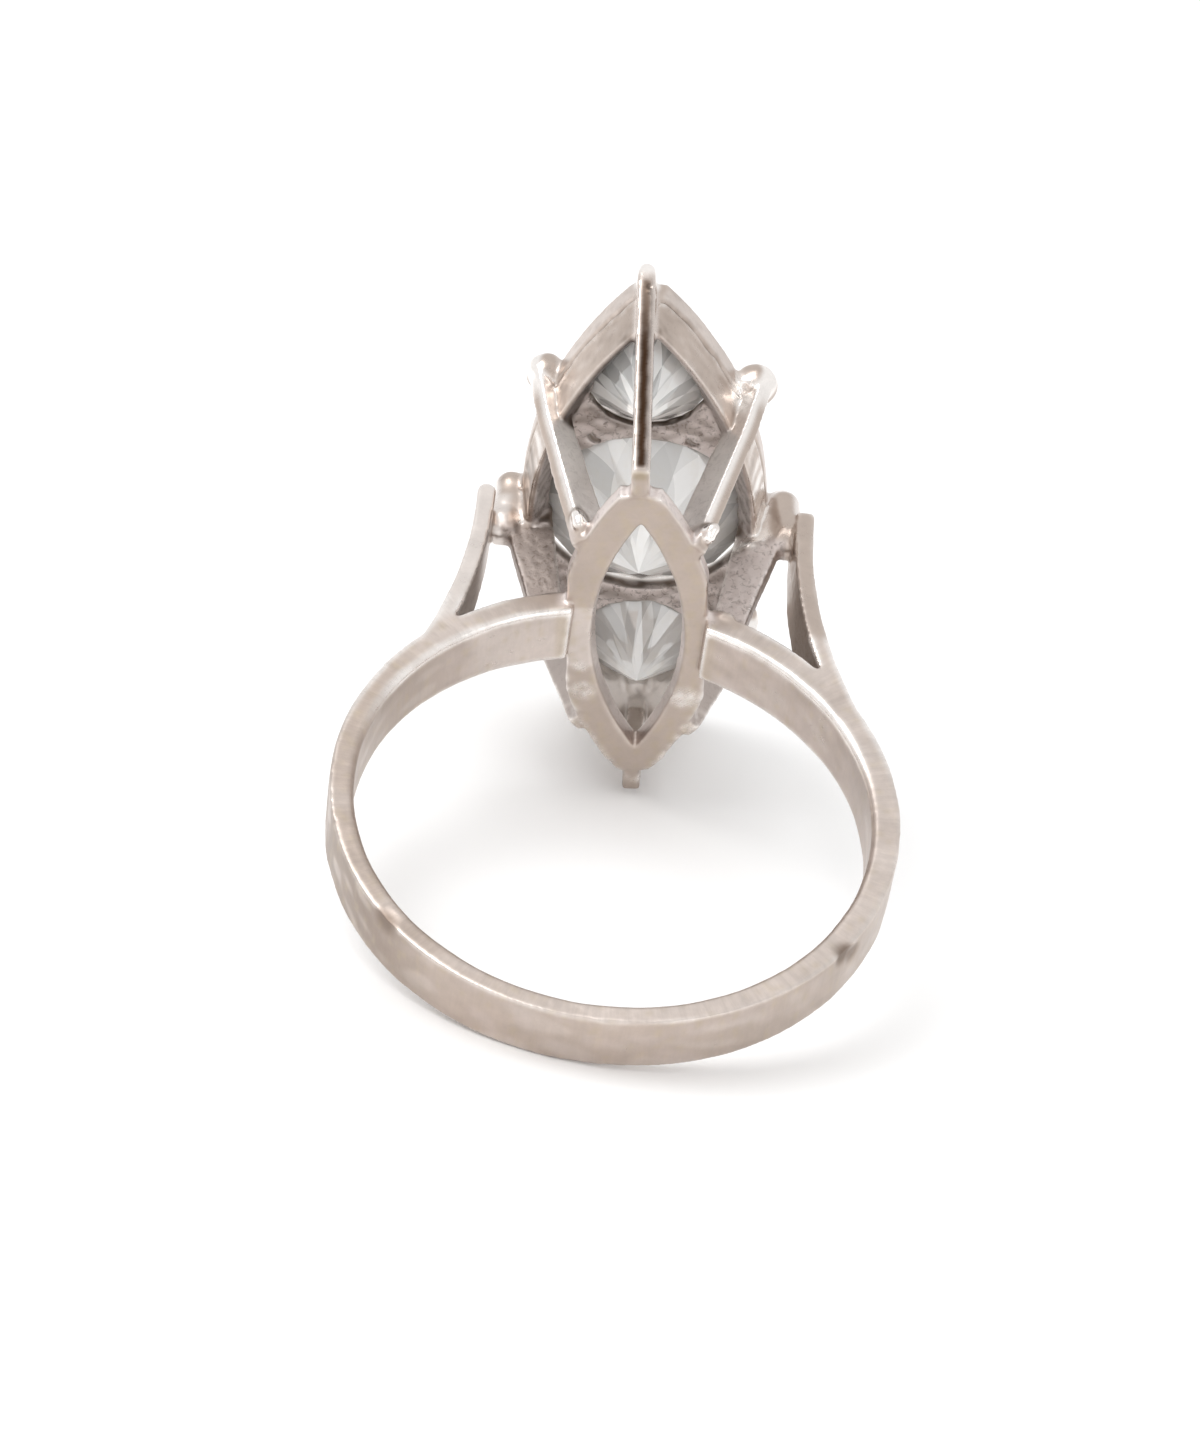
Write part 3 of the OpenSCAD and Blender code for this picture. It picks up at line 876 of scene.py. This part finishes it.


# the gallery's underside: silver seats darkened along their lips by painted shadow, painted shade
# on the slopes and lower inner walls, brown webs, a far funnel painted lighter against its shade
# with painted shadow in its tip, bright far corner
def paintUnderside(skin, paint):
    x, y, z = skin.head.T
    shell, deep, within = skin.shell, skin.deep, skin.within
    # the inner slopes below the webs, which get painted shade
    shadedSlope = within * (1 - smoothStep(z, 14.6, 14.8))
    seats = shell * smoothStep(deep, 0.35, 0.6)
    seats *= 1 - smoothStep(np.abs(skin.facing[:, 2]), 0.3, 0.6)
    paint.lay(seats, "silver", 0.5, 0.0)
    # painted shadow under the stones, along the seats' lower lips
    shadedLip = seats * (1 - smoothStep(z, 15.15, 15.25)) * (1 - smoothStep(y, 4.5, 5.5))
    paint.lay(shadedLip, "brown", 0.5)
    paint.lay(shadedLip * 0.25, "dark")
    paint.lay(within, "mauve", 0.45, 0.8)
    paint.lay(within * smoothStep(hammered(skin.points), -0.4, 0.6) * 0.5, "brown", 0.45)
    paint.lay(shadedSlope * 0.29, "dark", 0.45, 0.5)
    seatX, seatY, _ = stoneSpec["places"]["near_stone"]["at"]
    fromSeat = np.hypot(x - seatX, y - seatY)
    shadow = within * band(fromSeat, 2.15, 2.38, 0.05) * smoothStep(y, -5.6, -5.0)
    paint.lay(shadow * 0.35, "dark", 0.5)
    # painted shade on the lower inner walls at the near end: dark on the left, grey on the right
    shadedInnerWall = shell * (1 - smoothStep(z, 14.5, 14.7)) * smoothStep(-y, 3.6, 4.2)
    shadedInnerWall *= band(deep, 0.15, np.where(x < 0, 0.95, 0.6), 0.05)
    paint.lay(shadedInnerWall * smoothStep(-x, 0.3, 0.6) * 0.75, "dark", 0.35, 0.3)
    paint.lay(shadedInnerWall * smoothStep(x, 0.3, 0.6) * 0.7, "rough", 0.35, 0.3)
    # painted light: the far funnel lies in shade and is painted pale silver; deep in its tip, brown
    # as painted shadow
    paint.lay(within * smoothStep(y, 6.9, 7.6), "silver", 0.6, 0.0)
    paint.lay(within * smoothStep(y, 8.9, 9.2) * 0.6, "brown", 0.5)
    paint.lay(near(skin.head, (3.2, -5.6, 15.2), 0.95), "silver", 0.16, 0.3)


# edges are worn bright and painted as highlights, hollows turn brown, and the stubs below the end
# claws stay dull
def paintWear(skin, paint):
    y, z = skin.head[:, 1], skin.head[:, 2]
    covered = np.maximum(0.75 * skin.front, 0.8 * skin.shell * smoothStep(skin.deep, 0.3, 0.5))
    # worn edges, also painted silver as highlights
    paint.lay(skin.edge * (1 - skin.strip) * (1 - covered) * 0.85, "silver", 0.24)
    nub = smoothStep(-y, 7.4, 7.6) * band(z, 8.2, 8.85, 0.05)
    paint.lay(nub * 0.8, "yellow", 0.4)
    paint.lay(nub * 0.35, "brown")
    stub = smoothStep(y, 7.3, 7.6) * (1 - smoothStep(z, 9.4, 9.8))
    paint.lay(stub * 0.9, "beige", 0.4, 0.0)
    paint.lay(stub * 0.25, "brown")
    rubbed = skin.onHoop * smoothStep(skin.bend, 0.004, 0.014) * smoothStep(z, 1, 5)
    paint.lay(rubbed, "silver", 0.24)
    paint.lay(skin.hollow * smoothStep(skin.fine, -0.8, 0.3) * 0.55, "brown", 0.5)


# how often the drawn scratches change round the hoop, outwards and across it
scratchSpec = {"round": 55.0, "outwards": 0.6, "across": 0.8}


def paintSkin(points, normal, pairs, count):
    skin = Skin(points, normal, pairs, count)
    paint = Paint(len(points))
    for paintPart in (paintHoop, paintBase, paintArms, paintSlantedClaws, paintSideClaws,
                      paintNearClaw, paintGallery, paintUnderside, paintWear):
        paintPart(skin, paint)
    for _ in range(2):
        paint.tint = neighbourMean(paint.tint, pairs, count)
    # a vector that runs round the hoop, for the drawn scratches
    angle = np.arctan2(points[:, 0], -points[:, 2])
    polar = np.stack([angle * scratchSpec["round"], skin.radius * scratchSpec["outwards"],
                      points[:, 1] * scratchSpec["across"]], 1)
    print("painted")
    return paint, polar


def moltenMesh(node, beads):
    mesh = node.data.copy()
    mesh.transform(Matrix.Scale(1 / mm, 4))
    mesh.transform(rowToHoop)
    work = meshObject("skinWork", mesh)
    extra = meshObject("beadWork", beads)
    with bpy.context.temp_override(active_object=work, selected_editable_objects=[work, extra]):
        bpy.ops.object.join()
    weld = work.modifiers.new("weld", "WELD")
    weld.merge_threshold = skinSpec["weld"]
    remesh = work.modifiers.new("remesh", "REMESH")
    remesh.mode = "VOXEL"
    remesh.voxel_size = skinSpec["voxel"] * 1
    graph = bpy.context.evaluated_depsgraph_get()
    made = bpy.data.meshes.new_from_object(work.evaluated_get(graph))
    bpy.data.objects.remove(work)
    return made


def vertexNormals(points, quads):
    cross = np.cross(points[quads[:, 2]] - points[quads[:, 0]],
                     points[quads[:, 3]] - points[quads[:, 1]])
    total = np.zeros_like(points)
    for corner in range(4):
        for c in range(3):
            total[:, c] += np.bincount(quads[:, corner], cross[:, c], len(points))
    return total / (np.linalg.norm(total, axis=1)[:, None] + 1e-12)


def readMesh(mesh):
    points = vectors(mesh.vertices, len(mesh.vertices), "co")
    quads = np.zeros(len(mesh.loops), np.int32)
    mesh.loops.foreach_get("vertex_index", quads)
    pairs = np.zeros(len(mesh.edges) * 2, np.int32)
    mesh.edges.foreach_get("vertices", pairs)
    pairs = pairs.reshape(-1, 2)
    count = np.bincount(pairs.ravel(), minlength=len(points)).astype(float)
    print("skin", len(points), "points")
    return points, quads.reshape(-1, 4), pairs, count


# how much each point is softened: melted solder most, then claws, rim and all edges
def softness(points, quads, pairs, count):
    head = moved(points, hoopToHead)
    soft, melt = np.zeros(len(points)), np.zeros(len(points))
    for row in solderRows:
        start, way = np.array(row["from"], float), np.subtract(row["to"], row["from"])
        share = np.clip((head - start) @ way / (way @ way), 0, 1)
        if row.get("ends"):
            share = np.round(share)
        far = np.linalg.norm(head - start - share[:, None] * way, axis=1)
        soft = np.maximum(soft, 1 - smoothStep(far, row["radius"] + 0.1, row["radius"] + 0.5))
        if row.get("melt"):
            melt = np.maximum(melt, 1 - smoothStep(far, row["radius"], row["radius"] + 0.3))
    soft = np.maximum(soft, 0.5 * smoothStep(head[:, 2], 9.6, 10.4))
    rim = smoothStep(head[:, 2], 14.6, 15.2) * smoothStep(-underWall(*head.T), -0.1, 0.1)
    bend = bendOf(points, vertexNormals(points, quads), pairs, count, 4)
    worn = 0.7 * smoothStep(np.abs(bend), 0.004, 0.014)
    return np.maximum(np.maximum(soft, rim), worn), melt


# smoothing that keeps thin plates as thick as they are, then the softer places
def smoothSkin(points, quads, pairs, count):
    for _ in range(skinSpec["rounds"]):
        for share in skinSpec["shares"]:
            points += share * (neighbourMean(points, pairs, count) - points)
    soft, melt = softness(points, quads, pairs, count)
    for share, rounds in ((melt, skinSpec["melted"]), (soft, skinSpec["soft"])):
        for _ in range(rounds):
            points += 0.5 * share[:, None] * (neighbourMean(points, pairs, count) - points)


# how deep each kind of wear goes, in millimetres
wearSpec = {
    "uneven": 0.012, "fine": 0.002,
    "baseRim": 0.03, "lumps": 0.008,
    "groove": 0.07, "ridge": 0.03, "hammer": 0.035,
}


# dents, the worn unevenness of the surface and the groove round the gallery
def wearSkin(points, quads):
    normal = vertexNormals(points, quads)
    x, y, z = moved(points, hoopToHead).T
    push = wearSpec["uneven"] * ripple(points, 2.2, 8) + wearSpec["fine"] * ripple(points, 0.5, 9)
    rim = band(z, 8.6, 9.5, 0.1) * band(underBase(x, y), -0.2, 0.3, 0.1)
    push += wearSpec["baseRim"] * rim * smoothStep(y, 1, 3) * ripple(points, 0.9, 13)
    lumpy = band(z, 9.4, 14.2, 0.2) * smoothStep(np.abs(x), 2.4, 2.7)
    lumpy *= 1 - smoothStep(np.abs(y), 0.5, 0.6)
    push += wearSpec["lumps"] * lumpy * ripple(points, 0.35, 10)
    deep = underWall(x, y, z)
    outside = smoothStep(z, 13.6, 13.8) * (1 - smoothStep(z, 15.95, 16.0))
    outside *= band(deep, -0.1, 0.14, 0.05)
    wander = wandering(points, z)
    push -= wearSpec["groove"] * outside * band(wander, 15.05, 15.18, 0.05)
    push += wearSpec["ridge"] * outside * band(wander, 14.85, 15.0, 0.05)
    web = band(z, 14.4, 15.1, 0.1) * smoothStep(deep, 0.3, 0.6)
    push += wearSpec["hammer"] * web * hammered(points)
    for spot in hoopMarks:
        push -= near(points, spot["at"], spot["reach"]) * spot["deep"]
    points += normal * push[:, None]


def store(mesh, name, kind, values):
    layer = mesh.attributes.new(name, kind, "POINT")
    key = {"FLOAT": "value", "FLOAT_VECTOR": "vector", "FLOAT_COLOR": "color"}[kind]
    layer.data.foreach_set(key, np.ascontiguousarray(values, np.float32).ravel())


def skinPiece(name, points, normal, quads, paint, polar, mat):
    used = np.unique(quads)
    renumber = np.zeros(len(points), np.int32)
    renumber[used] = np.arange(len(used))
    mesh = bpy.data.meshes.new(name)
    mesh.from_pydata(points[used].tolist(), [], renumber[quads].tolist())
    store(mesh, "tint", "FLOAT_COLOR",
          np.hstack([paint.tint[used], np.ones((len(used), 1))]))
    store(mesh, "rough", "FLOAT", paint.rough[used])
    store(mesh, "grain", "FLOAT", paint.grain[used])
    store(mesh, "drawn", "FLOAT", paint.drawn[used])
    store(mesh, "polar", "FLOAT_VECTOR", polar[used])
    mesh.polygons.foreach_set("use_smooth", [True] * len(mesh.polygons))
    mesh.normals_split_custom_set_from_vertices(normal[used].tolist())
    mesh.materials.append(mat)
    print(name, len(mesh.polygons), "faces")
    return meshObject(name, mesh)


def mountSkin(node, mat):
    made = moltenMesh(node, solderBeads(mat))
    points, quads, pairs, count = readMesh(made)
    smoothSkin(points, quads, pairs, count)
    wearSkin(points, quads)
    normal = vertexNormals(points, quads)
    paint, polar = paintSkin(points, normal, pairs, count)
    middle = points[quads].mean(axis=1)[:, 2]
    rowPoints = moved(points, Matrix.Scale(mm, 4) @ hoopToRow)
    rowNormal = normal @ np.array(hoopToRow.to_3x3()).T
    for name, (low, high) in skinSpec["cuts"].items():
        kept = quads[(middle >= low) & (middle < high)]
        skin = skinPiece(name, rowPoints, rowNormal, kept, paint, polar, mat)
        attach(skin, "root")
        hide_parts("ring_mount")
    bpy.data.meshes.remove(made)


# stage and light

def makeStage():
    mesh = bpy.data.meshes.new("floor")
    reach = floorSpec["reach"]
    mesh.from_pydata([(-reach, -reach, 0), (reach, -reach, 0), (reach, reach, 0),
                      (-reach, reach, 0)], [], [(0, 1, 2, 3)])
    floor = meshObject("floor", mesh)
    mesh.materials.append(floorMaterial())
    print("stage done")


studio = {"world": 0.95, "aim": (0, 0, 0.01)}
lamps = [
    {"name": "overhead", "at": (-0.16, -0.08, 0.28), "size": (0.22, 0.22), "power": 0.46},
    {"name": "frontRight", "at": (0.24, -0.22, 0.14), "size": (0.16, 0.18), "power": 0.08},
    {"name": "front", "at": (-0.04, -0.30, 0.10), "size": (0.2, 0.12), "power": 0.05},
]


def makeLight(spec):
    data = bpy.data.lights.new(spec["name"], "AREA")
    data.shape = "RECTANGLE"
    data.size, data.size_y = spec["size"]
    data.energy = spec["power"]
    lamp = linked(bpy.data.objects.new(spec["name"], data))
    lamp.location = spec["at"]
    aim = Vector(studio["aim"]) - Vector(spec["at"])
    lamp.rotation_mode = "QUATERNION"
    lamp.rotation_quaternion = aim.to_track_quat("-Z", "Y")


def makeWorld(strength):
    world = bpy.data.worlds.new("studio")
    world.use_nodes = True
    back = world.node_tree.nodes["Background"]
    back.inputs["Color"].default_value = (1, 1, 1, 1)
    back.inputs["Strength"].default_value = strength
    bpy.context.scene.world = world


bpy.context.scene.view_settings.view_transform = "Standard"
makeCamera()
makeStage()
makeWorld(studio["world"])
for lampSpec in lamps:
    makeLight(lampSpec)
print("light done")

mountSkin(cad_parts["ring_mount"], metalMaterial())
paintedFacetLight = facetGroup()
for name, place in stoneSpec["places"].items():
    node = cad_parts[name]
    node.data.materials.clear()
    node.data.materials.append(stoneMaterial(name, place, paintedFacetLight))
print("stones done")
